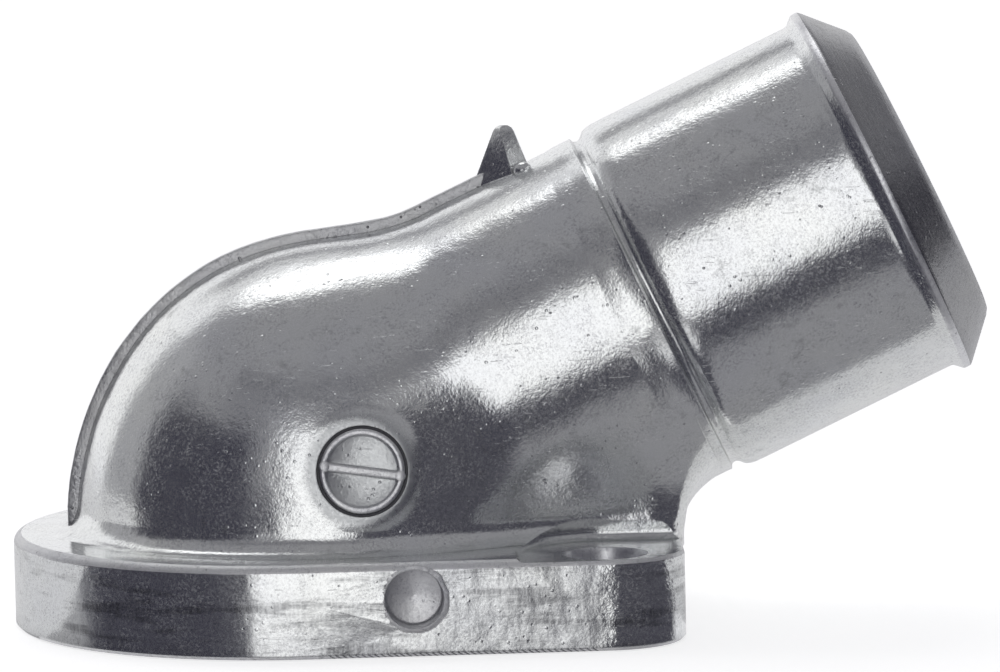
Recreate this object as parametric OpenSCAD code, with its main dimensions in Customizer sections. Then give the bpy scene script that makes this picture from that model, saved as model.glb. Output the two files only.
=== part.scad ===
// Coolant flange: a one-piece die casting. A domed elbow stands on a thick
// gasket flange and turns the flow into a beaded hose spigot that points
// upward at a slant. Millimetres, Z up. The origin is the centre of the round
// opening, on the gasket face; X runs towards the spigot, -Y is the front.

/* [Flange plate] */
// Thickness of the flange plate
flange_t = 9.8; // [7:0.1:12]
// Radius of the round end of the flange, about the origin
flange_end_r = 30; // [29:0.25:34]
// Distance from the origin to the straight end under the spigot
flange_reach = 40.4; // [39:0.1:46]
// Radius of the two corners at the straight end
flange_corner_r = 8.4; // [6:0.1:10]
// How much narrower each long side is at its straight end
flange_taper = 1.0; // [0:0.1:3]
// Rounding of the upper edge
flange_edge_r = 1.0; // [0.4:0.1:1.8]
// Machined bevel of the lower edge
face_bevel = 0.4; // [0.2:0.1:0.8]

/* [Bolt holes] */
// Clearance hole for each M8 bolt
bolt_hole_d = 8.4; // [6.4:0.1:9]
// Distance from the straight end of the flange to the row of bolt holes
bolt_inset = 8.4; // [7.4:0.1:9]
// Distance from each bolt hole to the line of the flange's widest place
bolt_margin = 6.5; // [5.6:0.1:8]
// Diameter of the flat seat milled around each hole for the bolt head
bolt_seat_d = 19; // [16:0.5:20]
// How far that seat is sunk into the flange
bolt_seat_drop = 0.4; // [0.2:0.1:1]
// Rounding at the foot of the wall behind the seat
bolt_seat_fillet = 1.0; // [0.4:0.1:1.5]

/* [Dome] */
// Distance from the origin to the dome's wall at the round end
dome_back = 23.2; // [22:0.1:24.5]
// Half width of the dome across the flange
dome_half_w = 23.6; // [21:0.1:24.5]
// How far the dome's middle lies from the origin, towards the spigot
dome_shift = 3.3; // [0:0.1:6]
// Height of the dome's crown above the gasket face
dome_crown = 39.9; // [38:0.1:44]
// Fillet between the dome's wall and the flange
root_fillet = 2.5; // [1:0.1:3.5]
// Softness of the hollow where the dome and the neck grow together
neck_blend = 5; // [2:0.25:8]

/* [Spigot] */
// Slant of the spigot above the gasket face, in degrees
spigot_slant = 25.14; // [20:0.1:32]
// Distance along X from the origin to the middle of the spigot's root
root_x = 38.8; // [37:0.1:41]
// Height of the middle of the spigot's root above the gasket face
root_z = 32.8; // [31:0.1:36]
// Outer diameter of the elbow's neck
neck_d = 38.7; // [36:0.1:40]
// Outer diameter of the hose tube
tube_d = 40; // [36:0.1:42]
// Length of the plain tube, from its root to the bead
tube_l = 25.4; // [20:0.1:40]
// Bore of the spigot
bore_d = 30; // [24:0.1:30]
// Diameter of the plain band between the neck and the groove
band_d = 39.1; // [38.4:0.1:40.5]
// Length of that band, with its groove
band_l = 4.4; // [3:0.1:7]
// Diameter at the bottom of the relief groove at the tube's root
groove_d = 38; // [36:0.1:38.2]
// Width of the relief groove
groove_w = 1.4; // [0.8:0.1:2]
// How far the bead stands out from the tube
bead_h = 0.9; // [0.4:0.05:1.6]
// Length of the bead's crest
bead_land = 0.8; // [0.4:0.1:2]
// Depth of the long chamfer that leads the hose on
lead_depth = 4.7; // [2:0.1:4.8]
// Length of the long chamfer, along the spigot
lead_l = 4.2; // [2:0.1:8]

/* [Web under the neck] */
// Half width of the web that joins the neck to the flange
web_half_w = 14.2; // [10:0.1:15]
// How far the web's end wall stands out past the flange's straight end
web_out = 0.5; // [0.2:0.1:1]
// How far the end wall leans outward for each millimetre of height
web_lean = 0.15; // [0:0.05:0.4]
// Rounding of the web's upright corners
web_corner_r = 3.5; // [2:0.25:6]
// Softness of the hollow between the web and the neck
web_blend = 4; // [2:0.25:6]

/* [Inside] */
// Diameter of the round opening into the dome
opening_d = 41.6; // [36:0.1:42]
// Diameter of the seat recessed into the gasket face
seat_d = 54; // [48:0.1:55]
// Depth of that seat
seat_depth = 3; // [1:0.1:4]
// Thickness of the dome's wall
wall_t = 3.5; // [2.5:0.1:4.5]
// Softness of the corner where the dome's inside meets the bore
inner_blend = 3; // [1:0.25:5]

/* [Parting line] */
// Width of the flash left along the parting line
flash_w = 1.2; // [0.6:0.1:2]
// Height of that flash
flash_h = 1.1; // [0.3:0.05:1.4]
// Where the pointed tab stands, along X
tab_x = 23; // [21:0.1:25]
// Width of the tab where it roots in the neck
tab_foot = 7.6; // [5:0.1:8.4]
// Width of the tab at its tip
tab_tip = 2; // [1:0.1:3]
// How far the tab's tip stands above the neck's crown
tab_rise = 5.2; // [3:0.1:7]

/* [Round mark] */
// Position of the mark along X
mark_x = 7.1; // [4:0.1:9]
// Height of the mark's middle above the gasket face
mark_z = 18.4; // [17:0.1:20]
// Diameter of the flat pad under the mark
pad_d = 11.6; // [10:0.1:12]
// Diameter of the round mark
mark_d = 9.5; // [8:0.1:9.8]
// Tilt of the bar across the mark, in degrees
mark_tilt = 8.4; // [0:0.1:45]

/* [Side hole] */
// Diameter of the blind hole in the flange's front side
side_hole_d = 6; // [4:0.1:6.5]
// Position of the blind hole along X
side_hole_x = 12.1; // [6:0.1:18]
// How far the blind hole's middle lies below the flange's upper face
side_hole_drop = 3.8; // [3.3:0.1:4]
// Depth of its straight part
side_hole_depth = 2.6; // [1.5:0.1:3]

/* [Hidden] */

axis = [cos(spigot_slant), 0, sin(spigot_slant)];
root = [root_x, 0, root_z];
tube_r = tube_d / 2;
neck_r = neck_d / 2;
dome_mid = [dome_shift, 0, flange_t];
dome_size = [dome_back + dome_shift, dome_half_w, dome_crown - flange_t];
room_mid = [0, 0, flange_t];
room_size = [opening_d / 2, opening_d / 2, dome_crown - flange_t - wall_t];
web_reach = flange_reach + web_out;
neck_start = [4, 0, root_z + (4 - root_x) * tan(spigot_slant)];
bolt_x = flange_reach - bolt_inset;
bolt_y = flange_end_r - bolt_margin;
bolt_seat_h = 4;
tab_foot_z = root_z + (tab_x - root_x) * tan(spigot_slant) + neck_r / cos(spigot_slant);

// Middle of a corner's rounding, and the way its long side faces
corner = [flange_reach - flange_corner_r, flange_end_r - flange_taper - flange_corner_r];
side_angle = atan2(corner.y, corner.x) + acos((flange_end_r - flange_corner_r) / norm(corner));
side_out = [cos(side_angle), sin(side_angle)];

// Height at which the body's wall leaves the flange, sunk a hair into it
foot_z = flange_t - 0.03;
// Height at which the level sections end and the fanned ones begin
turn_z = foot_z + root_fillet;

// Distance from the middle plane to the face of the round pad
pad_y = ray([mark_x, 0, mark_z], [0, -1, 0], false) + 0.05;

// Soft smaller of two distances: the corner between them fills over k
function soft_min(a, b, k) =
    let (h = max(k - abs(a - b), 0) / k)
    min(a, b) - h * h * k / 4;

// Distance from point p to a dome of half sizes s about m, upright below m
function dome_dist(p, m, s) =
    let (q = [p.x - m.x, p.y, max(p.z - m.z, 0)],
         k0 = norm([q.x / s.x, q.y / s.y, q.z / s.z]),
         k1 = norm([q.x / (s.x * s.x), q.y / (s.y * s.y), q.z / (s.z * s.z)]))
    k0 * (k0 - 1) / max(k1, 0.0001);

// Distance from point p to a round bar of radius r along the spigot's axis
function bar_dist(p, r) =
    let (q = p - neck_start, t = max(q * axis, 0))
    norm(q - t * axis) - r;

// Distance from point p to the web, a box with round upright corners
function web_dist(p) =
    let (reach = web_reach + web_lean * max(p.z - flange_t, 0),
         dx = abs(p.x - reach / 2) - reach / 2 + web_corner_r,
         dy = abs(p.y) - web_half_w + web_corner_r,
         side = norm([max(dx, 0), max(dy, 0)]) + min(max(dx, dy), 0) - web_corner_r)
    max(side, p.z - neck_start.z);

// Distance from point p to the outer skin of dome, neck and web together
function skin_dist(p) =
    soft_min(soft_min(dome_dist(p, dome_mid, dome_size), bar_dist(p, neck_r), neck_blend),
             web_dist(p), web_blend);

// Distance from point p to the wall of the room inside
function room_dist(p) =
    soft_min(dome_dist(p, room_mid, room_size), bar_dist(p, bore_d / 2 - 0.02), inner_blend);

// How far the root fillet reaches out at point p; it fades at the straight end
function fillet_reach(p) =
    let (h = min(max(turn_z - p.z, 0), root_fillet),
         fade = min(max((flange_reach - p.x) / root_fillet, 0), 1))
    fade * (root_fillet - sqrt(root_fillet * root_fillet - h * h));

// Distance of point p from the face that is being skinned
function gap_at(p, inside) =
    inside ? room_dist(p) : skin_dist(p) - fillet_reach(p);

// Length of the ray from o along d that just reaches the face, plus a lift
function ray(o, d, inside, lift = 0, near = 0, far = 64, n = 18) =
    let (mid = (near + far) / 2)
    n == 0 ? mid
    : gap_at(o + d * mid, inside) < lift ? ray(o, d, inside, lift, mid, far, n - 1)
    : ray(o, d, inside, lift, near, mid, n - 1);

// One section: its middle, the direction that points up and out, the rays
function section(o, up, count, inside) =
    [for (i = [0 : count - 1])
        let (a = 360 * i / count, d = up * cos(a) + [0, sin(a), 0])
        o + d * ray(o, d, inside)];

// Fanned sections turn about a line that lies below the end section
function fan_pivot(end) = [end.x + (end.z - turn_z) * tan(spigot_slant), 0, turn_z];

function fan_section(t, from_x, end, count, inside) =
    let (pivot = fan_pivot(end),
         angle = 180 - t * (90 - spigot_slant),
         up = [cos(angle), 0, sin(angle)],
         reach = (1 - t) * (pivot.x - from_x) + t * norm(end - pivot))
    section(pivot + up * reach, up, count, inside);

// Point of the crown line in a fanned section
function fan_crown(t, end, lift) =
    let (pivot = fan_pivot(end),
         angle = 180 - t * (90 - spigot_slant),
         up = [cos(angle), 0, sin(angle)],
         o = pivot + up * ((1 - t) * (pivot.x - 8) + t * norm(end - pivot)))
    o + up * ray(o, up, false, lift);

// Skin over a list of closed sections, with a flat cap at each end
module skin(sections) {
    rows = len(sections);
    n = len(sections[0]);
    polyhedron(
        points = [for (s = sections) each s],
        faces = concat(
            [[for (i = [n - 1 : -1 : 0]) i]],
            [for (r = [0 : rows - 2], i = [0 : n - 1])
                let (a = r * n + i, b = r * n + (i + 1) % n)
                [a, b, a + n]],
            [for (r = [0 : rows - 2], i = [0 : n - 1])
                let (a = r * n + i, b = r * n + (i + 1) % n)
                [a + n, b, b + n]],
            [[for (i = [0 : n - 1]) (rows - 1) * n + i]]
        ),
        convexity = 6
    );
}

// Level sections up through the root fillet, then fanned ones to the neck
module body_skin(count, fans) {
    end = root - 1.5 * axis;
    levels = [foot_z - 1.5, for (a = [0 : 15 : 75]) foot_z + root_fillet * (1 - cos(a))];
    skin(concat(
        [for (z = levels) section([8, 0, z], [-1, 0, 0], count, false)],
        [for (i = [0 : fans]) fan_section(i / fans, 8, end, count, false)]
    ));
}

module room_skin(count, fans) {
    end = root + 1.5 * axis;
    levels = [seat_depth - 1, flange_t - 1];
    skin(concat(
        [for (z = levels) section([2, 0, z], [-1, 0, 0], count, true)],
        [for (i = [0 : fans]) fan_section(i / fans, 2, end, count, true)]
    ));
}

// Half profile of the plate's edge, x outwards to r and y up. It runs on past
// both faces of the plate, which are cut flat afterwards
function edge_profile(r, inner) =
    let (rise = flange_edge_r * (1 - sin(75)), run = flange_edge_r * cos(75))
    concat(
        [[inner, -1], [r - face_bevel - 1, -1], [r, face_bevel]],
        [for (a = [0 : 15 : 75])
            [r - flange_edge_r * (1 - cos(a)), flange_t - flange_edge_r * (1 - sin(a))]],
        [[r - flange_edge_r - run, flange_t + rise],
         [r - flange_edge_r - run, flange_t + 1],
         [inner, flange_t + 1]]
    );

// Round body of the plate; a facet, not a corner, faces along X
module round_plate(r) {
    rotate([0, 0, 180 / 128]) rotate_extrude($fn = 128) polygon(edge_profile(r, 0));
}

// Straight stretch of the edge: it faces the angle out and runs to its right
module edge_bar(start, out, length) {
    translate([start.x, start.y, 0])
        rotate([90, 0, out])
        linear_extrude(length)
        polygon(edge_profile(0, -flange_corner_r / 2));
}

module plate_edges() {
    back_start = flange_end_r * side_out;
    back_end = corner + flange_corner_r * side_out;
    side_l = norm(back_end - back_start);
    round_plate(flange_end_r);
    for (s = [-1, 1]) translate([corner.x, s * corner.y, 0]) round_plate(flange_corner_r);
    edge_bar(back_start, side_angle, side_l);
    edge_bar([back_end.x, -back_end.y], -side_angle, side_l);
    edge_bar([flange_reach, corner.y], 0, 2 * corner.y);
    core = [[0, 0.95 * flange_end_r],
            corner + [0, 0.7 * flange_corner_r],
            corner + [0.7 * flange_corner_r, 0]];
    translate([0, 0, -0.5]) linear_extrude(flange_t + 1) polygon(concat(
        core,
        [for (i = [2, 1, 0]) [core[i].x, -core[i].y]]
    ));
}

module plate() {
    intersection() {
        plate_edges();
        translate([-flange_end_r - 5, -flange_end_r - 5, 0])
            cube([flange_end_r + flange_reach + 10, 2 * flange_end_r + 10, flange_t]);
    }
}

// Lay what follows along the spigot, with its root at the origin
module along_spigot() {
    translate(root) rotate([0, 90 - spigot_slant, 0]) children();
}

// Bar of the spigot: band, groove, hose tube, bead and the long chamfer
module spigot() {
    crest_r = tube_r + bead_h;
    crest_z = tube_l + bead_h;
    end_z = crest_z + bead_land + lead_l;
    along_spigot() rotate_extrude($fn = 128) polygon([
        [0, -band_l - 2],
        [neck_r - 0.5, -band_l - 1.4],
        [band_d / 2, -band_l + 0.6],
        [band_d / 2, -0.5 - groove_w / 2],
        [band_d / 2 - 0.15, -0.3 - groove_w / 2],
        [groove_d / 2, -groove_w / 4],
        [groove_d / 2, groove_w / 4],
        [tube_r - 0.5, groove_w / 2 + 0.4],
        [tube_r, groove_w / 2 + 1.2],
        [tube_r, tube_l],
        [crest_r - 0.1, crest_z - 0.1],
        [crest_r, crest_z + 0.15],
        [crest_r, crest_z + bead_land],
        [crest_r - lead_depth + 0.5, end_z - 0.45],
        [crest_r - lead_depth + 0.15, end_z - 0.15],
        [crest_r - lead_depth - 0.25, end_z],
        [0, end_z]
    ]);
}

module bore() {
    along_spigot() translate([0, 0, -12])
        cylinder(d = bore_d, h = tube_l + lead_l + bead_land + bead_h + 20, $fn = 96);
}

// Ridge of flash along the parting line, from the root fillet to the tab
module flash_ridge() {
    end = root - 1.5 * axis;
    steps = [for (i = [0 : 40]) if (fan_crown(i / 40, end, 0).x < tab_x) i / 40];
    outer = [for (t = steps) fan_crown(t, end, flash_h)];
    inner = [for (t = steps) fan_crown(t, end, -1.5)];
    rotate([90, 0, 0]) linear_extrude(flash_w, center = true) polygon(concat(
        [[outer[0].x, foot_z]],
        [for (q = outer) [q.x, q.z]],
        [for (i = [len(inner) - 1 : -1 : 0]) [inner[i].x, inner[i].z]],
        [[inner[0].x, foot_z]]
    ));
}

// One level of the tab: four corners, the front and rear ones moved aside
function tab_level(z, half, aside) = [
    [tab_x - half, 0, z],
    [tab_x + aside, half, z],
    [tab_x + half, 0, z],
    [tab_x + aside, -half, z]
];

// Four-sided pointed tab on the neck, with the small bump at its foot
module tab() {
    skin([
        tab_level(tab_foot_z - 2.3, tab_foot / 2, 1.4),
        tab_level(tab_foot_z + tab_rise - 0.4, tab_tip / 2, -0.4),
        tab_level(tab_foot_z + tab_rise, tab_tip / 4, -0.2)
    ]);
    translate([tab_x + 1.9, -2.3, tab_foot_z + 0.4]) sphere(r = 1.1, $fn = 24);
}

// Lay what follows on the round pad, with Z pointing out of its face
module on_pad() {
    translate([mark_x, -pad_y, mark_z]) rotate([90, 0, 0]) children();
}

module pad() {
    on_pad() translate([0, 0, -5]) cylinder(d = pad_d, h = 5, $fn = 64);
}

// Cuts that flatten the pad and draw the ring, disc and bar of the mark
module mark_cuts() {
    on_pad() {
        cylinder(d = pad_d, h = 3, $fn = 64);
        difference() {
            translate([0, 0, -0.35]) cylinder(d = mark_d, h = 1, $fn = 64);
            translate([0, 0, -1]) cylinder(d = mark_d - 0.5, h = 1, $fn = 64);
        }
        difference() {
            translate([0, 0, -0.25]) cylinder(d = mark_d * 0.76, h = 1, $fn = 64);
            rotate([0, 0, -mark_tilt]) cube([mark_d, mark_d * 0.1, 1], center = true);
        }
    }
}

// Blind hole with a drilled point in the front side of the flange
module side_hole() {
    translate([side_hole_x, -flange_end_r, flange_t - side_hole_drop]) rotate([-90, 0, 0]) {
        translate([0, 0, -1]) cylinder(d = side_hole_d, h = side_hole_depth + 1, $fn = 48);
        translate([0, 0, side_hole_depth])
            cylinder(d1 = side_hole_d, d2 = 0, h = side_hole_d / 2 * tan(31), $fn = 48);
    }
}

// Round cutter of the bolt seat, with a rounded lower edge
module seat_cutter() {
    r = bolt_seat_d / 2;
    rotate_extrude($fn = 48) polygon(concat(
        [[0, 0]],
        [for (a = [0 : 22.5 : 90])
            [r - bolt_seat_fillet + bolt_seat_fillet * sin(a), bolt_seat_fillet * (1 - cos(a))]],
        [[r - 0.6, bolt_seat_h], [0, bolt_seat_h]]
    ));
}

// Hole and head seat of one bolt; the seat runs out at the straight end
module bolt_cuts() {
    translate([bolt_x, bolt_y, -1]) cylinder(d = bolt_hole_d, h = flange_t + 2, $fn = 64);
    translate([bolt_x, bolt_y, flange_t - bolt_seat_drop])
        hull() {
            seat_cutter();
            translate([flange_reach - bolt_x + 2, 0, 0]) seat_cutter();
            translate([0, bolt_seat_d / 4, 0]) seat_cutter();
        }
}

module flange_casting() {
    color([0.71, 0.71, 0.72]) difference() {
        union() {
            plate();
            body_skin(72, 32);
            spigot();
            flash_ridge();
            tab();
            pad();
        }
        room_skin(48, 18);
        bore();
        cylinder(d = opening_d, h = flange_t, $fn = 128);
        translate([0, 0, -1]) cylinder(d = seat_d, h = seat_depth + 1, $fn = 128);
        bolt_cuts();
        mirror([0, 1, 0]) bolt_cuts();
        side_hole();
        mark_cuts();
    }
}

flange_casting();
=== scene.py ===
"""Looks of the cast coolant flange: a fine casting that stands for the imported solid,
its bare metal, a pale floor, soft studio light and the photograph's camera."""

import math

import bpy
import numpy as np
from mathutils import Matrix, Vector


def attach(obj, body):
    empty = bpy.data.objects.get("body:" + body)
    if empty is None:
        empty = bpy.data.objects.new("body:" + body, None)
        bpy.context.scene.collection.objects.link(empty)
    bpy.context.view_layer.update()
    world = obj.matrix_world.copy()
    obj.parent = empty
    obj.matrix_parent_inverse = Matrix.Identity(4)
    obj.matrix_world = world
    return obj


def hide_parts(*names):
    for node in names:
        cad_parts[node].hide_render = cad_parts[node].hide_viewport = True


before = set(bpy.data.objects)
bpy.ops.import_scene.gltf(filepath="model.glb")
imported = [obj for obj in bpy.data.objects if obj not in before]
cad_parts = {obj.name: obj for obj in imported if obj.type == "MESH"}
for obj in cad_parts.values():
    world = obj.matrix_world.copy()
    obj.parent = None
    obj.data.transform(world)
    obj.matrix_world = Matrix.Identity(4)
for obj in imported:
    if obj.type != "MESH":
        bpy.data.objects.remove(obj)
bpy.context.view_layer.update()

MM = 0.001

# Sizes in millimetres, the same as in the source of the solids. The inlet's middle is the
# origin, x runs towards the spigot, and the gasket face lies at z = 0.

# Flange
FLANGE_T = 9.8
END_R = 30.0
REACH = 40.4
CORNER_R = 8.4
TAPER = 1.0
EDGE_R = 1.0
FACE_BEVEL = 0.4

# Bolt holes and their seats
BOLT_D = 8.4
BOLT_X, BOLT_Y = 32.0, 23.5
BOLT_SEAT_R = 9.5
BOLT_SEAT_DROP = 0.4
BOLT_SEAT_FILLET = 1.0

# Hose spigot: ROOT is where its plain tube starts, on the axis
SLANT = math.radians(25.14)
ROOT = np.array([38.8, 0.0, 32.8])
NECK_R = 19.4
TUBE_R, TUBE_L = 20.0, 25.4
BORE_R = 15.0
BAND_R, BAND_L = 19.55, 4.4
GROOVE_R = 19.0
BEAD_H, BEAD_LAND = 0.9, 0.8
LEAD_DEPTH, LEAD_L = 4.7, 4.2

# Dome, neck and web, and how far they blend
DOME_MID, DOME_SIZE = np.array([3.3, 0.0, FLANGE_T]), np.array([26.5, 23.6, 30.1])
ROOT_FILLET = 2.5
NECK_BLEND = 5.0
WEB_HALF_W = 14.2
WEB_OUT = 0.5
WEB_LEAN = 0.15
WEB_CORNER_R = 3.5
WEB_BLEND = 4.0

# Room inside and the opening below it
OPENING_R = 20.8
SEAT_R, SEAT_DEPTH = 27.0, 3.0
ROOM_MID, ROOM_SIZE = np.array([0.0, 0.0, FLANGE_T]), np.array([20.8, 20.8, 26.6])
INNER_BLEND = 3.0
# The room is narrower than the bore by this, so that their walls never coincide
HAIR = 0.02

# Flash ridge and tab
FLASH_W, FLASH_H = 1.2, 1.1
TAB_X = 23.0

# Round mark and blind side hole
MARK_X, MARK_Z, MARK_R, PAD_R = 7.1, 18.4, 4.75, 5.8
SIDE_X, SIDE_Z, SIDE_R, SIDE_DEPTH = 12.1, 6.0, 3.0, 2.6

# Places that follow from the sizes
AXIS = np.array([math.cos(SLANT), 0.0, math.sin(SLANT)])
NECK_X = 4.0
NECK_START = np.array([NECK_X, 0.0, ROOT[2] + (NECK_X - ROOT[0]) * math.tan(SLANT)])
CORNER = np.array([REACH - CORNER_R, END_R - TAPER - CORNER_R])
# Direction that the flange's tapering side faces, from the x axis
SIDE_TURN = math.atan2(CORNER[1], CORNER[0]) + math.acos((END_R - CORNER_R) / np.linalg.norm(CORNER))
# The skin's foot is sunk a little into the flange's top
FOOT_Z = FLANGE_T - 0.03
TURN_Z = FOOT_Z + ROOT_FILLET

# The skin's loft ends this far before the root, inside the band, and the room's as far beyond it
OVERLAP = 1.5
BODY_FROM_X, BODY_END = 8.0, ROOT - OVERLAP * AXIS
ROOM_FROM_X, ROOM_END = 2.0, ROOT + OVERLAP * AXIS

# Points round the skin and planes from the flange to the neck, for the skin and for the room
BODY_RAYS, BODY_FANS = 288, 170
ROOM_RAYS, ROOM_FANS = 128, 60

# Edges sharper than this stay sharp in the shading
SHARP_ANGLE = math.radians(32)

# Kinds of finish on the casting, in the order of its material slots
# The near-black finish of the mark's gap is painted shade
# The pale rubbed-edge finish is wear with a painted highlight
AS_CAST, TURNED, MILLED, INSIDE, DRILLED, GAP_SHADE, FLASH, WORN_HIGHLIT = range(8)


# Distances from the surfaces, negative inside

# Keeps a division from meeting a zero
TINY = 1e-4


def soft_min(a, b, k):
    """The smaller of two distances, rounded off over a width k where they cross."""
    h = np.maximum(k - np.abs(a - b), 0) / k
    return np.minimum(a, b) - h * h * k / 4


def soft_max(a, b, k):
    return -soft_min(-a, -b, k)


def length(v):
    return np.linalg.norm(v, axis=-1)


def dome_gap(p, mid, size):
    """Upper half of an ellipsoid, with straight walls below its middle."""
    q = p - mid
    q[:, 2] = np.maximum(q[:, 2], 0)
    share = length(q / size)
    slope = np.maximum(length(q / (size * size)), TINY)
    return share * (share - 1) / slope


def bar_gap(p, r):
    """Round bar on the spigot's axis, with a ball at its lower end."""
    q = p - NECK_START
    t = np.maximum(q @ AXIS, 0)
    return length(q - t[:, None] * AXIS) - r


def web_gap(p):
    """Upright block with rounded corners below the neck, cut off along the neck's axis."""
    reach = REACH + WEB_OUT + WEB_LEAN * np.maximum(p[:, 2] - FLANGE_T, 0)
    dx = np.abs(p[:, 0] - reach / 2) - reach / 2 + WEB_CORNER_R
    dy = np.abs(p[:, 1]) - WEB_HALF_W + WEB_CORNER_R
    outside = np.hypot(np.maximum(dx, 0), np.maximum(dy, 0))
    side = outside + np.minimum(np.maximum(dx, dy), 0) - WEB_CORNER_R
    over = (p[:, 2] - NECK_START[2]) * AXIS[0] - (p[:, 0] - NECK_START[0]) * AXIS[2]
    return np.maximum(side, over)


def shape_gap(p):
    """Plain outer skin: dome, neck and web grown together."""
    both = soft_min(dome_gap(p, DOME_MID, DOME_SIZE), bar_gap(p, NECK_R), NECK_BLEND)
    return soft_min(both, web_gap(p), WEB_BLEND)


def filleted_gap(p):
    """Outer skin with the root fillet, which fades out towards the straight end."""
    h = np.clip(TURN_Z - p[:, 2], 0, ROOT_FILLET)
    fade = np.clip((REACH - p[:, 0]) / ROOT_FILLET, 0, 1)
    return shape_gap(p) - fade * (ROOT_FILLET - np.sqrt(ROOT_FILLET**2 - h * h))


def room_gap(p):
    return soft_min(dome_gap(p, ROOM_MID, ROOM_SIZE), bar_gap(p, BORE_R - HAIR), INNER_BLEND)


# Length and height of the swells in the cast skin, in millimetres
SWELLS = ((26, 0.05), (15, 0.03), (9, 0.014), (5.5, 0.006))
SWELLS_OF_A_SIZE = 5
# Their phases are spread over about a full turn
PHASES = 6.3


def waves(p):
    """Slight unevenness of the cast skin."""
    rng = np.random.default_rng(11)
    total = np.zeros(len(p))
    for size, height in SWELLS:
        for _ in range(SWELLS_OF_A_SIZE):
            way = rng.normal(size=3)
            way /= np.linalg.norm(way)
            total += height / 2 * np.sin(p @ way * (2 * math.pi / size) + rng.uniform(0, PHASES))
    return total


# Every surface point lies nearer to its ray's start than RAY_END. So many halvings bring it
# down to less than a millionth of a millimetre.
RAY_END = 64.0
HALVINGS = 34


def reach_out(start, way, gap):
    """Points where the rays from start come out through the surface, by halving."""
    near, far = np.zeros(len(start)), np.full(len(start), RAY_END)
    for _ in range(HALVINGS):
        mid = (near + far) / 2
        inside = gap(start + way * mid[:, None]) < 0
        near, far = np.where(inside, mid, near), np.where(inside, far, mid)
    return start + way * near[:, None]


# The round mark's face leans back with the skin and stands out of it a little
MARK_LEAN = math.radians(11)
MARK_RISE = 0.25
MARK_OUT = np.array([0.0, -math.cos(MARK_LEAN), math.sin(MARK_LEAN)])
MARK_FOOT = reach_out(np.array([[MARK_X, 0, MARK_Z]]), np.array([[0, -1.0, 0]]), shape_gap)[0]
MARK_MID = MARK_FOOT + MARK_RISE * MARK_OUT

# The pad under the mark: how deep it reaches, the rounding of its edge and its blend with the skin
PAD_DEPTH, PAD_EDGE, PAD_BLEND = 12, 1.0, 1.4
# The swells die out over this distance from the pad and from the flange
CALM = 3
# A dent low on the round end
DENT_MID, DENT_SIZE, DENT_DEPTH = np.array([-21.9, -7.2, 12.3]), np.array([1.1, 1.1, 0.8]), 0.35


def skin_gap(p):
    """Finished outer skin, with the flat pad for the mark, swells and a dent."""
    q = p - MARK_MID
    face = q @ MARK_OUT
    rim = length(q - face[:, None] * MARK_OUT) - PAD_R
    back = -face - PAD_DEPTH
    gap = filleted_gap(p)
    gap = soft_min(gap, np.maximum(soft_max(rim, face, PAD_EDGE), back), PAD_BLEND)
    gap = soft_max(gap, -np.maximum(soft_max(rim, -face, PAD_EDGE), back), PAD_BLEND)
    swell = np.clip(rim / CALM, 0, 1) * np.clip((p[:, 2] - FOOT_Z) / CALM, 0, 1)
    dent = length((p - DENT_MID) / DENT_SIZE)
    return gap - waves(p) * swell + DENT_DEPTH * np.exp(-dent * dent)


# Sections through the skin


def section(mid, up, count, gap):
    """Ring of surface points in the plane through mid that holds up and the y axis."""
    a = np.linspace(0, 2 * math.pi, count, endpoint=False)
    ways = np.outer(np.cos(a), up) + np.outer(np.sin(a), [0, 1.0, 0])
    return reach_out(np.tile(np.asarray(mid, float), (count, 1)), ways, gap)


def fan_frame(t, from_x, end):
    """Middle and up direction of a plane of the fan: level at t = 0, across the neck at 1."""
    pivot = np.array([end[0] + (end[2] - TURN_Z) * math.tan(SLANT), 0, TURN_Z])
    angle = math.pi - t * (math.pi / 2 - SLANT)
    up = np.array([math.cos(angle), 0, math.sin(angle)])
    reach = (1 - t) * (pivot[0] - from_x) + t * np.linalg.norm(end - pivot)
    return pivot + up * reach, up


def fanned(end, levels, from_x, count, fans, gap):
    """Sections at the given levels, then fanned over from level to across the neck."""
    rows = [section([from_x, 0, z], [-1.0, 0, 0], count, gap) for z in levels]
    rows += [section(*fan_frame(i / fans, from_x, end), count, gap) for i in range(fans + 1)]
    return rows


def crown(t):
    """Point of the skin's crown line at fan place t."""
    mid, up = fan_frame(t, BODY_FROM_X, BODY_END)
    return reach_out(mid[None], up[None], filleted_gap)[0]


# Meshes


def new_mesh(name, points, faces, finish):
    """A mesh from millimetre points, with its faces turned outwards."""
    mesh = bpy.data.meshes.new(name)
    mesh.from_pydata([tuple(v) for v in np.asarray(points) * MM], [], faces)
    mesh.update()
    made = bpy.data.objects.new(name, mesh)
    bpy.context.scene.collection.objects.link(made)
    for material in FINISHES:
        mesh.materials.append(material)
    mesh.polygons.foreach_set("material_index", finish)
    if signed_volume(mesh) < 0:
        mesh.flip_normals()
    return made


def signed_volume(mesh):
    """Six times the volume, below zero where the faces look inwards."""
    mesh.calc_loop_triangles()
    points = np.array([v.co for v in mesh.vertices])
    corners = np.array([t.vertices[:] for t in mesh.loop_triangles])
    a, b, c = points[corners[:, 0]], points[corners[:, 1]], points[corners[:, 2]]
    return float(np.einsum("ij,ij->i", a, np.cross(b, c)).sum())


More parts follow.
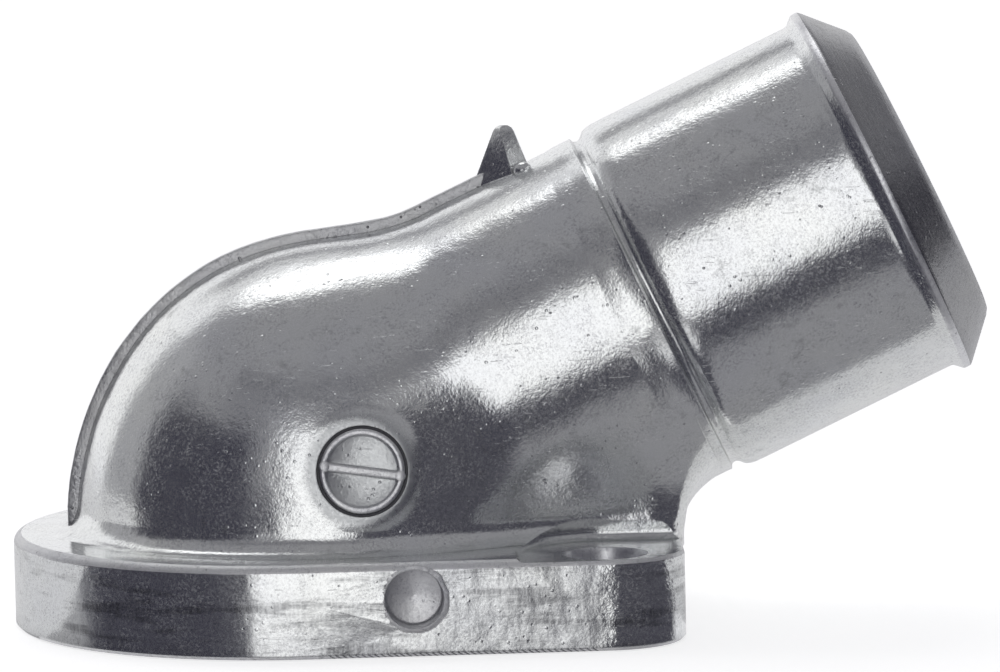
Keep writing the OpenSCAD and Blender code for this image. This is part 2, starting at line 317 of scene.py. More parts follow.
def loft(name, rows, finish=AS_CAST):
    """Closed skin over rows of points, capped flat at each end.

    finish is one kind, or a list with the kind of each strip between two rows."""
    n, strips = len(rows[0]), len(rows) - 1
    kinds = [finish] * strips if isinstance(finish, int) else finish
    faces = []
    for r in range(strips):
        for i in range(n):
            j = (i + 1) % n
            faces.append((r * n + i, r * n + j, (r + 1) * n + j, (r + 1) * n + i))
    faces.append(tuple(range(n - 1, -1, -1)))
    faces.append(tuple(strips * n + i for i in range(n)))
    face_kinds = [kind for kind in kinds for _ in range(n)] + [kinds[0], kinds[-1]]
    return new_mesh(name, np.concatenate(rows), faces, face_kinds)


def ring(r, z, count):
    a = np.linspace(0, 2 * math.pi, count, endpoint=False)
    return np.stack([r * np.cos(a), r * np.sin(a), np.full(count, float(z))], 1)


def place(rows, origin, x, y, z):
    """Rows given in a local frame, moved to origin with axes x, y and z."""
    turn = np.array([x, y, z], float)
    return [row @ turn + np.asarray(origin, float) for row in rows]


def lathe(name, profile, count, finish=AS_CAST, origin=(0, 0, 0), x=(1, 0, 0), y=(0, 1, 0), z=(0, 0, 1)):
    """Turned body from (radius, height) points along its local z axis."""
    rows = [ring(r, height, count) for r, height in profile]
    return loft(name, place(rows, origin, x, y, z), finish)


def combine(target, tool, how):
    """Boolean of two solids. New faces keep the material of the tool."""
    modifier = target.modifiers.new(how, "BOOLEAN")
    modifier.operation, modifier.object, modifier.solver = how, tool, "MANIFOLD"
    bpy.context.view_layer.update()
    evaluated = target.evaluated_get(bpy.context.evaluated_depsgraph_get())
    mesh = bpy.data.meshes.new_from_object(evaluated)
    target.modifiers.clear()
    target.data = mesh
    bpy.data.objects.remove(tool)


def join(target, *tools):
    for tool in tools:
        combine(target, tool, "UNION")


def cut(target, *tools):
    for tool in tools:
        combine(target, tool, "DIFFERENCE")


# Materials


class Graph:
    """Short way to write the nodes of a material or a world."""

    def __init__(self, owner):
        owner.use_nodes = True
        self.owner = owner
        self.tree = owner.node_tree
        self.tree.nodes.clear()

    def node(self, kind, inputs=None, **settings):
        made = self.tree.nodes.new(kind)
        for key, value in settings.items():
            setattr(made, key, value)
        for key, value in (inputs or {}).items():
            self.put(made.inputs[key], value)
        return made

    def put(self, socket, value):
        if isinstance(value, bpy.types.NodeSocket):
            self.tree.links.new(value, socket)
        else:
            socket.default_value = value

    def calc(self, operation, *values):
        made = self.node("ShaderNodeMath", operation=operation)
        for i, value in enumerate(values):
            self.put(made.inputs[i], value)
        return made.outputs[0]

    def times(self, a, b):
        return self.calc("MULTIPLY", a, b)

    def minus(self, a, b):
        return self.calc("SUBTRACT", a, b)

    def total(self, first, *others):
        for value in others:
            first = self.calc("ADD", first, value)
        return first

    def swing(self, noise, size):
        """A noise's values, brought about zero and scaled."""
        return self.times(self.minus(noise, 0.5), size)

    def vectors(self, operation, a, b):
        made = self.node("ShaderNodeVectorMath", {0: a, 1: b}, operation=operation)
        return made.outputs["Vector" if operation == "ADD" else "Value"]

    def ramp(self, value, low, high, to_low=0.0, to_high=1.0):
        """Smooth step from to_low at low to to_high at high."""
        values = {0: value, 1: low, 2: high, 3: to_low, 4: to_high}
        return self.node("ShaderNodeMapRange", values, interpolation_type="SMOOTHSTEP").outputs[0]

    def mix(self, share, a, b):
        return self.node("ShaderNodeMix", {0: share, 6: a, 7: b}, data_type="RGBA").outputs[2]

    def noise(self, where, scale, detail=2.0, rough=0.5):
        values = {"Vector": where, "Scale": scale, "Detail": detail, "Roughness": rough}
        return self.node("ShaderNodeTexNoise", values).outputs[0]

    def cells(self, where, scale):
        """Distance from the nearest of scattered points."""
        return self.node("ShaderNodeTexVoronoi", {"Vector": where, "Scale": scale}).outputs["Distance"]

    def stretched(self, where, turn, scale):
        return self.node("ShaderNodeMapping", {"Vector": where, "Rotation": turn, "Scale": scale}).outputs[0]


def millimetres(g):
    """Place on the object, in millimetres, so that every scale below is per millimetre."""
    where = g.node("ShaderNodeTexCoord").outputs["Object"]
    return g.node("ShaderNodeVectorMath", {0: where, "Scale": 1 / MM}, operation="SCALE").outputs[0]


def toned(base, red, green, blue):
    return (base[0] * red, base[1] * green, base[2] * blue, 1)


def spots(g, where, scale, core, rim):
    """Mask of round spots on scattered points, full up to core and gone at rim."""
    return g.ramp(g.cells(where, scale), core, rim, 1.0, 0.0)


def scratches(g, p, turn, long, seed):
    """Mask of thin, long and rare scratches that run one way."""
    across = 3.2
    q = g.stretched(p, turn, (1 / long, across, across))
    q = g.vectors("ADD", q, (seed, seed * 1.7, seed * 0.3))
    line = g.ramp(g.noise(q, 1.0, 1.0), 0.712, 0.735)
    return g.times(line, g.ramp(g.noise(p, 0.16), 0.44, 0.56))


# Height at which the wear of the flange's sides ends, below its rounded edge
SIDE_WEAR_Z = 8.9


def smears(g, p, z):
    """Mask of dark smears along the flange's sides, brushed through by fine slanting lines."""
    smear = g.ramp(g.noise(g.stretched(p, (0, 0, 0), (0.09, 0.09, 0.75)), 1.0, 5.0, 0.6), 0.50, 0.66)
    smear = g.times(smear, g.ramp(z, SIDE_WEAR_Z, SIDE_WEAR_Z + 0.7, 1.0, 0.0))
    brush = g.noise(g.stretched(p, (0, 0.6, 0), (3.2, 3.2, 0.35)), 1.0)
    return g.times(smear, g.ramp(brush, 0.35, 0.65, 0.5, 1.0))


def side_relief(g, p, x, z):
    """Long ripples on the flange's sides and lumps on its corners, in millimetres."""
    top = SIDE_WEAR_Z + 0.9
    ripple = g.noise(g.stretched(p, (0, 0.5, 0), (0.42, 0.42, 0.2)), 1.0)
    ripple = g.swing(ripple, g.ramp(z, SIDE_WEAR_Z, top, 0.035, 0.0))
    lump = g.times(g.ramp(x, 30.0, 33.0, 0.0, 0.11), g.ramp(z, SIDE_WEAR_Z, top, 1.0, 0.0))
    return ripple, g.swing(g.noise(p, 0.6, 4.0, 0.6), lump)


def aluminium(name, base, rough, grain, marks=None, outer=False, shine=0.97):
    """Bare cast metal: orange-peel skin, pits, blisters, stains and scratches.

    grain scales the relief, marks adds a tool's traces, and outer adds what only the outer
    skin has: wear on the flange's sides, and a matt mark with a matt surround."""
    g = Graph(bpy.data.materials.new(name))
    p = millimetres(g)
    x, _, z = g.node("ShaderNodeSeparateXYZ", {0: p}).outputs
    fine = g.noise(p, 3.4, 3.0, 0.6)
    blister = g.times(spots(g, p, 1.0, 0.06, 0.20), g.ramp(g.noise(p, 0.30), 0.49, 0.60))
    pit = spots(g, g.stretched(p, (0.4, 0.2, 0.9), (1, 1, 1)), 0.9, 0.04, 0.15)
    pit = g.times(pit, g.ramp(g.noise(p, 0.41), 0.52, 0.62))
    stain = g.ramp(g.noise(p, 0.75, 6.0, 0.72), 0.52, 0.72)
    stain = g.times(stain, g.ramp(g.noise(p, 0.13, 3.0), 0.42, 0.60))

    # Colour: a cool grey that drifts, with darker stains and speckles, and painted shade in cavities
    colour = g.mix(g.noise(p, 0.10, 3.0), toned(base, 0.88, 0.89, 0.94), toned(base, 1.05, 1.05, 1.01))
    colour = g.mix(g.times(stain, 0.60), colour, toned(base, 0.45, 0.46, 0.46))
    speckle = g.ramp(g.noise(p, 3.8, 4.0, 0.72), 0.30, 0.54, 1.0, 0.0)
    speckle = g.times(speckle, g.ramp(g.noise(p, 0.35, 3.0), 0.38, 0.62, 0.15, 0.8))
    colour = g.mix(speckle, colour, toned(base, 0.55, 0.55, 0.58))
    if outer:
        colour = g.mix(g.times(smears(g, p, z), 0.72), colour, toned(base, 0.22, 0.22, 0.23))
        matt = g.ramp(g.vectors("DISTANCE", p, tuple(MARK_MID)), MARK_R + 0.45, PAD_R + 1.0, 1.0, 0.0)
        colour = g.mix(g.times(matt, 0.85), colour, toned(base, 0.74, 0.75, 0.76))
    # Painted shade: the colour darkens towards near black where ambient occlusion finds creases and hollows
    cavity_shade = g.node("ShaderNodeAmbientOcclusion", {"Distance": 3 * MM}, samples=4).outputs["AO"]
    colour = g.mix(g.times(g.ramp(cavity_shade, 0.30, 0.80, 1.0, 0.0), 0.45), colour, (0.12, 0.12, 0.13, 1))
    colour = g.mix(g.times(pit, 0.6), colour, (0.15, 0.15, 0.17, 1))

    roughness = g.total(rough, g.swing(fine, 0.20), g.times(stain, 0.10))
    if outer:
        roughness = g.total(roughness, g.times(matt, 0.16))
    # Grains of dull oxide, which show in the dark reflections
    oxide = g.ramp(g.noise(p, 3.4, 4.0, 0.75), 0.45, 0.66)
    oxide = g.times(oxide, g.ramp(g.noise(p, 0.27), 0.36, 0.60, 0.35, 1.0))
    metallic = g.minus(shine, g.times(oxide, 0.30))

    # Relief in millimetres, calmer on the outer skin's flange
    height = g.total(g.swing(g.noise(p, 0.85, 3.0, 0.6), 0.030 * grain), g.swing(fine, 0.011 * grain),
                     g.times(blister, 0.03 * grain), g.times(pit, -0.035 * grain))
    height = g.times(height, g.ramp(z, 8.6, 10.4, 0.34, 1.0) if outer else 1.0)
    height = g.total(height, g.swing(g.noise(p, 0.22), 0.07 * grain))
    if outer:
        height = g.total(height, *side_relief(g, p, x, z))
    lines = g.calc("MAXIMUM", scratches(g, p, (0.3, 0.5, 0.9), 5.0, 3.0),
                   scratches(g, p, (1.1, -0.7, -0.4), 7.0, 8.0))
    height = g.total(height, g.times(lines, -0.012))
    if marks:
        height = g.total(height, marks(g, p))
    soft = g.node("ShaderNodeBevel", {"Radius": 0.18 * MM}, samples=4).outputs[0]
    bump = g.node("ShaderNodeBump", {"Height": height, "Strength": 1.0, "Distance": MM, "Normal": soft})
    metal = g.node("ShaderNodeBsdfPrincipled", {"Base Color": colour, "Metallic": metallic,
                                                "Roughness": roughness, "Normal": bump.outputs[0]})
    g.node("ShaderNodeOutputMaterial", {"Surface": metal.outputs[0]})
    return g.owner


def turning_marks(g, p):
    """Fine rings around the spigot's axis, 0.16 mm apart."""
    along = g.vectors("DOT_PRODUCT", p, tuple(AXIS))
    wave = g.calc("SINE", g.times(along, 2 * math.pi / 0.16))
    drift = g.noise(g.node("ShaderNodeCombineXYZ", {0: along}).outputs[0], 5.0, 3.0)
    return g.total(g.times(wave, 0.0012), g.swing(drift, 0.02))


def milling_marks(g, p):
    """Arcs that a face cutter leaves, 0.55 mm apart."""
    away = g.vectors("DISTANCE", p, (10, -95, 0))
    return g.times(g.calc("SINE", g.times(away, 2 * math.pi / 0.55)), 0.0012)


# In the order of the kinds of finish: name, colour, roughness and strength of the relief
FINISHES = [
    aluminium("cast_skin", (0.93, 0.94, 0.93), 0.15, 1.0, outer=True),
    aluminium("turned_metal", (0.42, 0.42, 0.43), 0.26, 0.8, turning_marks),
    aluminium("milled_metal", (0.86, 0.86, 0.87), 0.22, 0.4, milling_marks),
    aluminium("inner_skin", (0.60, 0.60, 0.61), 0.40, 1.4),
    aluminium("drilled_metal", (0.93, 0.93, 0.94), 0.34, 0.8),
    # Painted shade: a near-black finish that stands for the shade in the mark's narrow gap
    aluminium("groove_painted_shade", (0.12, 0.12, 0.13), 0.50, 0.6),
    aluminium("flash_metal", (0.70, 0.70, 0.70), 0.36, 2.4),
    # Wear and painted highlight: a pale, half-dull finish that lights the rubbed edges whatever they mirror
    aluminium("worn_edge_painted_highlight", (0.98, 0.98, 0.98), 0.40, 2.2, shine=0.45),
]


# The flange plate


def plate_outline(inset, z, count=320):
    """Outline of the flange, moved in by inset: arcs about three middles."""
    points = []
    for a in np.linspace(-math.pi, math.pi, count, endpoint=False):
        if abs(a) >= SIDE_TURN:
            mid, r = np.zeros(2), END_R
        else:
            mid, r = np.array([CORNER[0], math.copysign(CORNER[1], a)]), CORNER_R
        points.append((mid[0] + (r - inset) * math.cos(a), mid[1] + (r - inset) * math.sin(a), z))
    return np.array(points)


def plate():
    """Plate with a bevelled gasket face and a rounded upper edge, worn and lit by a painted highlight."""
    rows = [plate_outline(FACE_BEVEL, 0)]
    rows += [plate_outline(0, z) for z in (FACE_BEVEL, 3.0, 6.0)]
    for a in np.radians(np.linspace(0, 90, 9)):
        rows.append(plate_outline(EDGE_R * (1 - math.cos(a)), FLANGE_T - EDGE_R * (1 - math.sin(a))))
    return loft("flange_plate", rows, [MILLED] + [AS_CAST] * 4 + [WORN_HIGHLIT] * 6 + [AS_CAST])


# The file marks on the front of the gasket face's bevel
NICKS_FROM, NICKS_TO, NICK_PITCH = 3.6, 31.0, 0.66
NICK_HALF_LENGTH = 0.30
# How far a nick's floor and its open top stand out of the bevel, and how wide each is
NICK_FLOOR, NICK_TOP = (-0.09, 0.03), (0.35, 0.26)
BOX_FACES = ((3, 2, 1, 0), (4, 5, 6, 7), (0, 1, 5, 4), (1, 2, 6, 5), (2, 3, 7, 6), (3, 0, 4, 7))


def edge_nicks():
    """Slanting file marks along the front of the gasket face's bevel, as one cutter."""
    along, down = np.array([1.0, 0, 0]), np.array([0, 1.0, -1.0]) / math.sqrt(2)
    out = np.array([0, -1.0, -1.0]) / math.sqrt(2)
    lengthways, sideways = along + down, along - down
    points, faces = [], []
    for x in np.arange(NICKS_FROM, NICKS_TO, NICK_PITCH):
        mid = np.array([x, -END_R + x / math.tan(SIDE_TURN) + FACE_BEVEL / 2, FACE_BEVEL / 2])
        faces += [tuple(len(points) + k for k in face) for face in BOX_FACES]
        for stand, width in (NICK_FLOOR, NICK_TOP):
            for i, j in ((-1, -1), (1, -1), (1, 1), (-1, 1)):
                points.append(mid + out * stand + lengthways * (i * NICK_HALF_LENGTH)
                              + sideways * (j * width / 2))
    return new_mesh("edge_nicks", points, faces, [AS_CAST] * len(faces))


def bolt_cutter(side):
    """Bolt hole with a chamfer below and a clearance above."""
    r, seat_z, over = BOLT_D / 2, FLANGE_T - BOLT_SEAT_DROP, FLANGE_T + 2
    profile = [(0.01, -1.0), (r + 0.35, -1.0), (r + 0.35, 0.0), (r, 0.35), (r, FLANGE_T - 1.0),
               (r + 0.3, seat_z + 0.05), (r + 0.3, over), (0.01, over)]
    return lathe("bolt_hole", profile, 96, DRILLED, origin=(BOLT_X, side * BOLT_Y, 0))


def seat_cutter(side):
    """Flat milled seat that runs out at the straight end."""
    mids = np.array([(BOLT_X, BOLT_Y), (REACH + 2, BOLT_Y), (BOLT_X, BOLT_Y + BOLT_SEAT_R / 2)])
    a = np.linspace(0, 2 * math.pi, 160, endpoint=False)
    ways = np.stack([np.cos(a), np.sin(a)], 1)
    far = mids[np.argmax(ways @ mids.T, axis=1)]
    r0, z0, fillet = BOLT_SEAT_R, FLANGE_T - BOLT_SEAT_DROP, BOLT_SEAT_FILLET
    turns = np.radians(np.linspace(0, 90, 8))
    levels = [(r0 - fillet * (1 - math.sin(b)), z0 + fillet * (1 - math.cos(b))) for b in turns]
    # Above the fillet the cutter narrows, so that the wall behind the seat leans over it
    levels += [(r0 - 0.3, z0 + 2), (r0 - 3.4, z0 + 6)]
    rows = []
    for r, z in levels:
        edge = far + ways * r
        rows.append(np.column_stack([edge[:, 0], side * edge[:, 1], np.full(len(edge), z)]))
    return loft("bolt_seat", rows)


# Dome, neck and web


def body():
    """Outer skin, from inside the flange up to the spigot."""
    fillet_turns = np.radians(np.arange(4, 90, 7.5))
    levels = [FOOT_Z - OVERLAP] + [FOOT_Z + ROOT_FILLET * (1 - math.cos(a)) for a in fillet_turns]
    return loft("body", fanned(BODY_END, levels, BODY_FROM_X, BODY_RAYS, BODY_FANS, skin_gap))


def room():
    """Hollow of dome and neck, as a cutter that starts inside the opening."""
    levels = [SEAT_DEPTH - 1, FLANGE_T - 1]
    return loft("room", fanned(ROOM_END, levels, ROOM_FROM_X, ROOM_RAYS, ROOM_FANS, room_gap), INSIDE)


# Hose spigot

SPIGOT = dict(origin=ROOT, x=(-math.sin(SLANT), 0, math.cos(SLANT)), y=(0, -1, 0), z=AXIS)
SPIGOT_SIDES = 256


def arc(mid, r, turn_from, turn_to, count):
    turns = np.radians(np.linspace(turn_from, turn_to, count))
    return [(mid[0] + r * math.cos(a), mid[1] + r * math.sin(a)) for a in turns]


def spigot():
    """Band, relief groove, plain tube, bead and lead-in, from (radius, height) points."""
    crest_r, crest_z = TUBE_R + BEAD_H, TUBE_L + BEAD_H
    land_z = crest_z + BEAD_LAND
    foot_r, end_z = crest_r - LEAD_DEPTH, land_z + LEAD_L
    # The band rises softly out of the neck
    profile = [(0.01, -BAND_L - 2), (NECK_R - 0.7, -BAND_L - 1.4), (NECK_R - 0.06, -BAND_L - 0.4),
               (NECK_R + 0.03, -BAND_L + 0.3), (NECK_R + 0.07, -BAND_L + 1.0), (BAND_R, -BAND_L + 2.0),
               (BAND_R, -0.75)]
    profile += arc((BAND_R - 0.17, -0.67), 0.22, 10, 80, 5)
    # The groove, with a long fillet up to the tube
    profile += [(GROOVE_R + 0.12, -0.32), (GROOVE_R + 0.01, -0.1), (GROOVE_R, 0.12),
                (GROOVE_R + 0.06, 0.35), (GROOVE_R + 0.25, 0.6), (TUBE_R - 0.32, 1.0),
                (TUBE_R - 0.12, 1.5), (TUBE_R - 0.03, 2.1)]
    profile += [(TUBE_R, s) for s in np.linspace(3.0, TUBE_L - 0.8, 12)]
    # The bead, which leans out of the tube and has a flat crest
    profile += [(TUBE_R + 0.02, TUBE_L - 0.15), (TUBE_R + 0.12, TUBE_L + 0.08),
                (crest_r - 0.12, crest_z - 0.12), (crest_r - 0.02, crest_z + 0.05)]
    cast = len(profile) - 2
    profile += [(crest_r, crest_z + 0.2), (crest_r, land_z - 0.12), (crest_r - 0.08, land_z + 0.05)]
    # The lead-in chamfer, rounded at its end
    profile += [(crest_r - t * (LEAD_DEPTH - 0.2), land_z + t * LEAD_L) for t in np.linspace(0.08, 0.9, 8)]
    profile += [(foot_r + 0.42, end_z - 0.3), (foot_r + 0.12, end_z - 0.08), (foot_r - 0.3, end_z),
                (0.01, end_z)]
    crest = 3
    kinds = [AS_CAST] * cast + [DRILLED] * crest + [TURNED] * (len(profile) - 1 - cast - crest)
    return lathe("spigot", profile, SPIGOT_SIDES, kinds, **SPIGOT)


def bore():
    """The spigot's bore, with a small chamfer at its mouth."""
    mouth = TUBE_L + 5.6
    profile = [(BORE_R, -12), (BORE_R, mouth), (BORE_R + 0.5, mouth + 0.5), (BORE_R + 1, mouth + 3.4)]
    return lathe("bore", profile, 192, INSIDE, **SPIGOT)


# Flash ridge and tab

RIDGE_STEPS = 110
TAB_HALF = 1.4


def ridge_end():
    """Fan place at which the ridge runs into the tab."""
    low, high = 0.4, 1.0
    for _ in range(20):
        mid = (low + high) / 2
        low, high = (mid, high) if crown(mid)[0] < TAB_X - TAB_HALF else (low, mid)
    return low


def ridge_shape(w, h):
    """Flat-topped section of the flash, of half width w and height h."""
    return [(-w - 0.1, -1.2), (-w - 0.06, 0.05), (-w, h - 0.16), (-w + 0.05, h - 0.05), (-w + 0.16, h),
            (w - 0.16, h + 0.02), (w - 0.05, h - 0.05), (w, h - 0.16), (w + 0.06, 0.05), (w + 0.1, -1.2)]


def flash_ridge():
    """Line of flash along the crown line, from the flange up to the tab, as a swept bar."""
    foot = crown(0)
    low = [np.array([foot[0], 0, z]) for z in np.linspace(FOOT_Z, TURN_Z, 6)[:-1]]
    ups = [np.array([-1.0, 0, 0])] * len(low)
    for t in np.linspace(0, ridge_end(), RIDGE_STEPS):
        low.append(crown(t))
        ups.append(fan_frame(t, BODY_FROM_X, BODY_END)[1])
    along = np.gradient(np.array(low), axis=0)
    along /= length(along)[:, None]
    out = np.stack([-along[:, 2], np.zeros(len(low)), along[:, 0]], 1)
    out *= np.sign((out * np.array(ups)).sum(1))[:, None]
    rng = np.random.default_rng(4)
    wobble = np.convolve(rng.normal(size=len(low) + 8), np.ones(9) / 9, "valid") * 0.12
    rows = []
    for point, way, shift in zip(low, out, wobble):
        shape = ridge_shape(FLASH_W / 2 + shift * 0.3, FLASH_H + shift * 0.6)
        rows.append(np.array([point + way * rise + np.array([0, aside, 0]) for aside, rise in shape]))
    return loft("ridge", rows, FLASH)


# Height of each section of the tab, half its width, and how far its front edge is off the middle
TAB_SECTIONS = ((44.5, 3.8, 1.4), (48.0, 2.43, 0.5), (51.35, 1.12, -0.35), (51.75, 0.86, -0.35),
                (51.98, 0.45, -0.25))


def tab():
    """Four-sided pointed tab with its tip rubbed round."""
    rows = []
    for z, half, aside in TAB_SECTIONS:
        left, middle, right = TAB_X - half, TAB_X + aside, TAB_X + half
        rows.append(np.array([(left, 0, z), (middle, -half, z), (right, 0, z), (middle, half, z)]))
    return loft("tab", rows)


def tab_bump():
    """Small ball in the skin beside the tab."""
    r, pole = 1.1, 0.02
    profile = [(r * math.sin(a), -r * math.cos(a)) for a in np.linspace(pole, math.pi - pole, 14)]
    return lathe("tab_bump", profile, 28, origin=(24.9, -2.3, 47.2))


# Round mark

MARK_TURN = math.radians(8.4)
MARK_SIDES = 96
INSERT_R = MARK_R - 0.33


def mark_frame():
    """Middle and axes of the mark's face: x along its bar, z out of the face."""
    across = np.array([1.0, 0, 0])
    up = np.cross(MARK_OUT, across)
    return dict(origin=MARK_MID, x=math.cos(MARK_TURN) * across - math.sin(MARK_TURN) * up,
                y=math.cos(MARK_TURN) * up + math.sin(MARK_TURN) * across, z=MARK_OUT)


def mark_insert(at):
    """Raised ring round a flat face."""
    r = INSERT_R
    ring_points = [(0.01, -1.2), (r, -1.2), (r, -0.22), (r - 0.04, -0.08), (r - 0.14, 0.0), (r - 0.34, 0.03),
                   (r - 0.56, 0.0), (r - 0.68, -0.1), (r - 0.74, -0.2)]
    face_points = [(r - 0.84, -0.24), (0.01, -0.24)]
    kinds = [DRILLED] * (len(ring_points) - 1) + [AS_CAST] * len(face_points)
    return lathe("mark_insert", ring_points + face_points, MARK_SIDES, kinds, **at)


def mark_bar(at):
    """Round-edged bar across the face."""
    shape = [(-0.52, -0.9), (-0.47, -0.16), (-0.40, -0.02), (-0.26, 0.05), (0.26, 0.05), (0.40, -0.02),
             (0.47, -0.16), (0.52, -0.9)]
    reach = INSERT_R - 0.1
    rows = [np.array([(u, v, w) for v, w in shape]) for u in (-reach, reach)]
    return loft("mark_bar", place(rows, **at), DRILLED)


def mark_stud(at, side):
    """Low round stud where the bar meets the ring."""
    profile = [(0.01, -0.9), (0.62, -0.9), (0.60, -0.06), (0.5, 0.06), (0.3, 0.11), (0.01, 0.12)]
    origin = at["origin"] + side * (INSERT_R - 0.5) * at["x"]
    return lathe("mark_stud", profile, 32, DRILLED, **dict(at, origin=origin))


def add_mark(part):
    """Bare round insert: a gap in painted shade, a raised ring and a raised bar over two flat halves."""
    at = mark_frame()
    gap = [(MARK_R, -0.5), (MARK_R, -0.1), (MARK_R + 0.06, 2.0)]
    cut(part, lathe("mark_gap", gap, MARK_SIDES, GAP_SHADE, **at))
    join(part, mark_insert(at), mark_bar(at), mark_stud(at, -1), mark_stud(at, 1))


# Blind side hole

SIDE_SIDES = 96


def side_frame(y):
    return dict(origin=(SIDE_X, y, SIDE_Z), x=(1, 0, 0), y=(0, 0, 1), z=(0, -1, 0))


def side_hole():
    """Shallow drilled hole with a nearly flat bottom, as a cutter."""
    r, tip = SIDE_R, 0.45
    profile = [(0.01, -SIDE_DEPTH - tip), (r - 0.15, -SIDE_DEPTH), (r, -SIDE_DEPTH + 0.2), (r, -0.35),
               (r + 0.06, 0.0), (r + 0.1, 1.2)]
    return lathe("side_hole", profile, SIDE_SIDES, DRILLED, **side_frame(-END_R + 0.35))


# Sections of the burr: how far beyond the hole, how far out of the side, and how ragged
BURR_SECTIONS = ((0.55, -1.0, 0.4), (0.52, 0.05, 1.0), (0.44, 0.10, 1.0), (0.10, 0.13, 0.5),
                 (-0.2, 0.14, 0.0))


def side_burr():
    """Low ragged ring that the drill pushed up around the blind hole, worn and with a painted highlight."""
    rng = np.random.default_rng(9)
    ragged = np.convolve(rng.normal(size=SIDE_SIDES + 4), np.ones(5) / 5, "valid")[:, None] * 0.12
    rows = []
    for beyond, rise, share in BURR_SECTIONS:
        row = ring(SIDE_R + beyond, rise, SIDE_SIDES)
        row[:, :2] *= 1 + ragged * share / SIDE_R
        row[:, 2] += rng.normal(size=SIDE_SIDES) * 0.022 * (rise > 0)
        rows.append(row)
    return loft("side_burr", place(rows, **side_frame(-END_R + 0.38)), WORN_HIGHLIT)


# The casting


def opening():
    return lathe("opening", [(OPENING_R, 0.5), (OPENING_R, FLANGE_T - 0.1)], 192, INSIDE)


def gasket_seat():
    """Recess for the thermostat's rim in the gasket face, with a chamfer."""
    bevel = 0.3
    profile = [(SEAT_R + bevel, -1), (SEAT_R + bevel, 0), (SEAT_R, bevel), (SEAT_R, SEAT_DEPTH)]
    return lathe("seat", profile, 192, MILLED)


def build_casting():
    part = body()
    part.name = "casting"
    join(part, plate(), spigot(), flash_ridge(), tab(), tab_bump(), side_burr())
    cut(part, room(), bore(), opening(), gasket_seat())
    for side in (-1, 1):
        cut(part, seat_cutter(side), bolt_cutter(side))
    cut(part, side_hole(), edge_nicks())
    add_mark(part)
    part.data.polygons.foreach_set("use_smooth", [True] * len(part.data.polygons))
    part.data.set_sharp_from_angle(angle=SHARP_ANGLE)
    return part


casting = build_casting()
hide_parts("flange_casting")
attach(casting, "root")


# Studio

# Each panel of the tent: azimuth from and to, height from and to and softness of its edge, in
# degrees, and its brightness. Azimuth 0 is straight in front of the object, and 90 its right.
# A later panel covers an earlier one.
PANELS = [
    ((-400, -122), (-90, 49), 6, 0.90),
    ((117, 400), (-90, 33), 7, 0.80),
    ((-400, -148), (33, 43), 5, 0.22),
    ((-112, 112), (-90, 6), 6, 0.07),
    ((-100, -31), (-90, 32), 7, 0.045),
    ((4, 107), (-90, 26), 5, 0.060),
    ((14, 112), (-90, -30), 6, 0.25),
    ((100, 140), (-90, -40), 8, 0.5),
    ((-124, -95), (-30, 46), 6, 0.34),
    ((-60, 20), (38, 52), 5, 0.17),
    ((-18, 6.6), (-12, 32), 3, 1.10),
    ((-400, -128), (53, 76), 6, 1.65),
    ((160, 400), (53, 76), 6, 1.65),
    ((-23, 1), (-37, -18), 4, 0.7),
]
TENT_LEVEL = 0.255
# The dark parts of the room are slightly violet
ROOM_TINT = (0.002, 0.001, 0.017)


def studio_level(g, direction):
    """Grey level of the studio in a direction: panels on a grey tent."""
    x, y, z = g.node("ShaderNodeSeparateXYZ", {0: direction}).outputs
    azimuth = g.times(g.calc("ARCTAN2", x, g.times(y, -1.0)), 180 / math.pi)
    flat = g.calc("SQRT", g.total(g.times(x, x), g.times(y, y)))
    height = g.times(g.calc("ARCTAN2", z, flat), 180 / math.pi)

    def band(value, low, high, soft):
        rise = g.ramp(value, low - soft, low + soft)
        return g.times(rise, g.ramp(value, high - soft, high + soft, 1.0, 0.0))

    level = TENT_LEVEL
    for across, upright, soft, brightness in PANELS:
        mask = g.times(band(azimuth, *across, soft), band(height, *upright, soft))
        level = g.total(g.times(level, g.minus(1.0, mask)), g.times(mask, brightness))
    return level


def build_world():
    """The studio as the metal sees it, and plain white behind the object."""
    world = bpy.data.worlds.new("studio")
    bpy.context.scene.world = world
    g = Graph(world)
    level = studio_level(g, g.node("ShaderNodeTexCoord").outputs["Generated"])
    tinted = {i: g.total(level, tint) for i, tint in enumerate(ROOM_TINT)}
    grey = g.node("ShaderNodeCombineColor", tinted).outputs[0]
    camera_ray = g.node("ShaderNodeLightPath").outputs["Is Camera Ray"]
    seen = g.mix(camera_ray, grey, (1.0, 1.0, 1.0, 1))
    background = g.node("ShaderNodeBackground", {"Color": seen, "Strength": 1.0})
    g.node("ShaderNodeOutputWorld", {"Surface": background.outputs[0]})


# Floor in metres, a hair below the gasket face so that the two planes never coincide
FLOOR_Z = -0.03 * MM
FLOOR_HALF = 4
# The metal mirrors the floor behind this line and the studio in front of it
FLOOR_SPLIT_Y = -12 * MM
FLOOR_GREY = 0.86
# Glow that lifts the floor to the white of the background, for the camera and in reflections
GLOW_SEEN, GLOW_MIRRORED = 0.70, 0.30


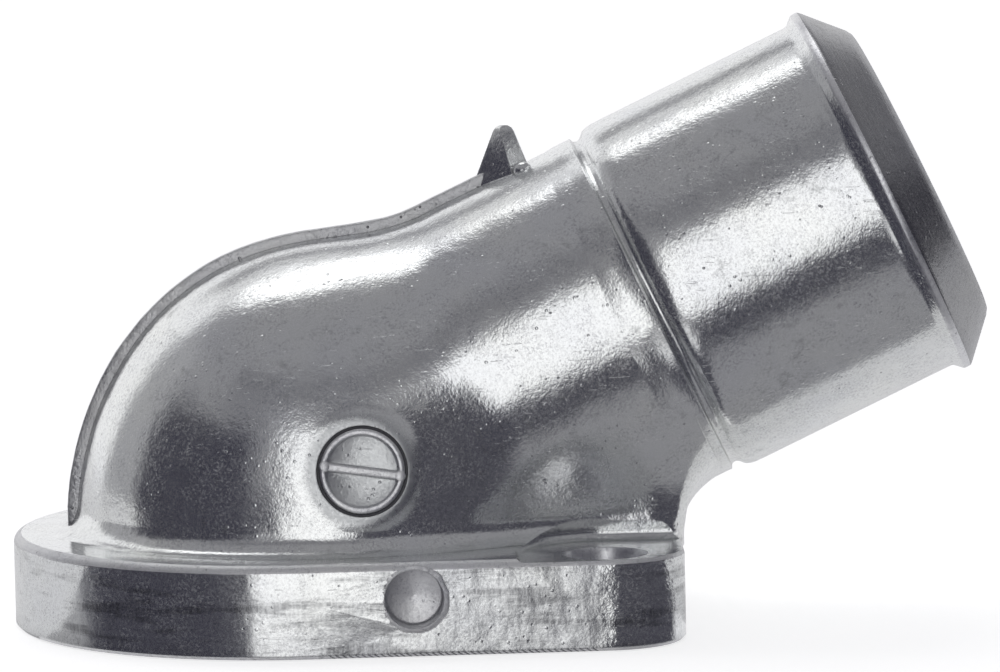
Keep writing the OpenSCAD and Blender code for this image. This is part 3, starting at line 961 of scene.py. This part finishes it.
def floor_material():
    g = Graph(bpy.data.materials.new("floor_pale"))
    rays = g.node("ShaderNodeLightPath").outputs
    glow = g.total(g.times(rays["Is Camera Ray"], GLOW_SEEN), g.times(rays["Is Glossy Ray"], GLOW_MIRRORED))
    diffuse = g.node("ShaderNodeBsdfDiffuse", {"Color": (FLOOR_GREY, FLOOR_GREY, FLOOR_GREY, 1)})
    shining = g.node("ShaderNodeEmission", {"Color": (1, 1, 1, 1), "Strength": glow})
    both = g.node("ShaderNodeAddShader", {0: diffuse.outputs[0], 1: shining.outputs[0]})
    g.node("ShaderNodeOutputMaterial", {"Surface": both.outputs[0]})
    return g.owner


def build_floor():
    material = floor_material()
    x = FLOOR_HALF
    for name, y0, y1 in (("floor_back", FLOOR_SPLIT_Y, x), ("floor_front", -x, FLOOR_SPLIT_Y)):
        corners = [(-x, y0, FLOOR_Z), (x, y0, FLOOR_Z), (x, y1, FLOOR_Z), (-x, y1, FLOOR_Z)]
        mesh = bpy.data.meshes.new(name)
        mesh.from_pydata(corners, [], [(0, 1, 2, 3)])
        mesh.materials.append(material)
        floor = bpy.data.objects.new(name, mesh)
        bpy.context.scene.collection.objects.link(floor)
        floor.visible_glossy = name == "floor_back"


# The photograph's view, from a fit of the object's outline
CAMERA_PITCH, CAMERA_YAW, CAMERA_ROLL = map(math.radians, (6.7, 1.5, -1.16))
CAMERA_TARGET = Vector((22.21, 0, 29.49)) * MM
CAMERA_AWAY = 744.7 * MM


def build_camera():
    camera = bpy.data.objects.new("camera", bpy.data.cameras.new("camera"))
    bpy.context.scene.collection.objects.link(camera)
    camera.data.sensor_width, camera.data.lens = 36.0, 252.0
    camera.data.clip_start, camera.data.clip_end = 0.05, 20.0
    level = Vector((math.sin(CAMERA_YAW), math.cos(CAMERA_YAW), 0))
    forward = level * math.cos(CAMERA_PITCH) - Vector((0, 0, math.sin(CAMERA_PITCH)))
    camera.location = CAMERA_TARGET - forward * CAMERA_AWAY
    turn = forward.to_track_quat("-Z", "Y").to_matrix() @ Matrix.Rotation(CAMERA_ROLL, 3, "Z")
    camera.rotation_mode = "QUATERNION"
    camera.rotation_quaternion = turn.to_quaternion()
    bpy.context.scene.camera = camera


build_world()
build_floor()
build_camera()
bpy.context.scene.view_settings.view_transform = "Standard"
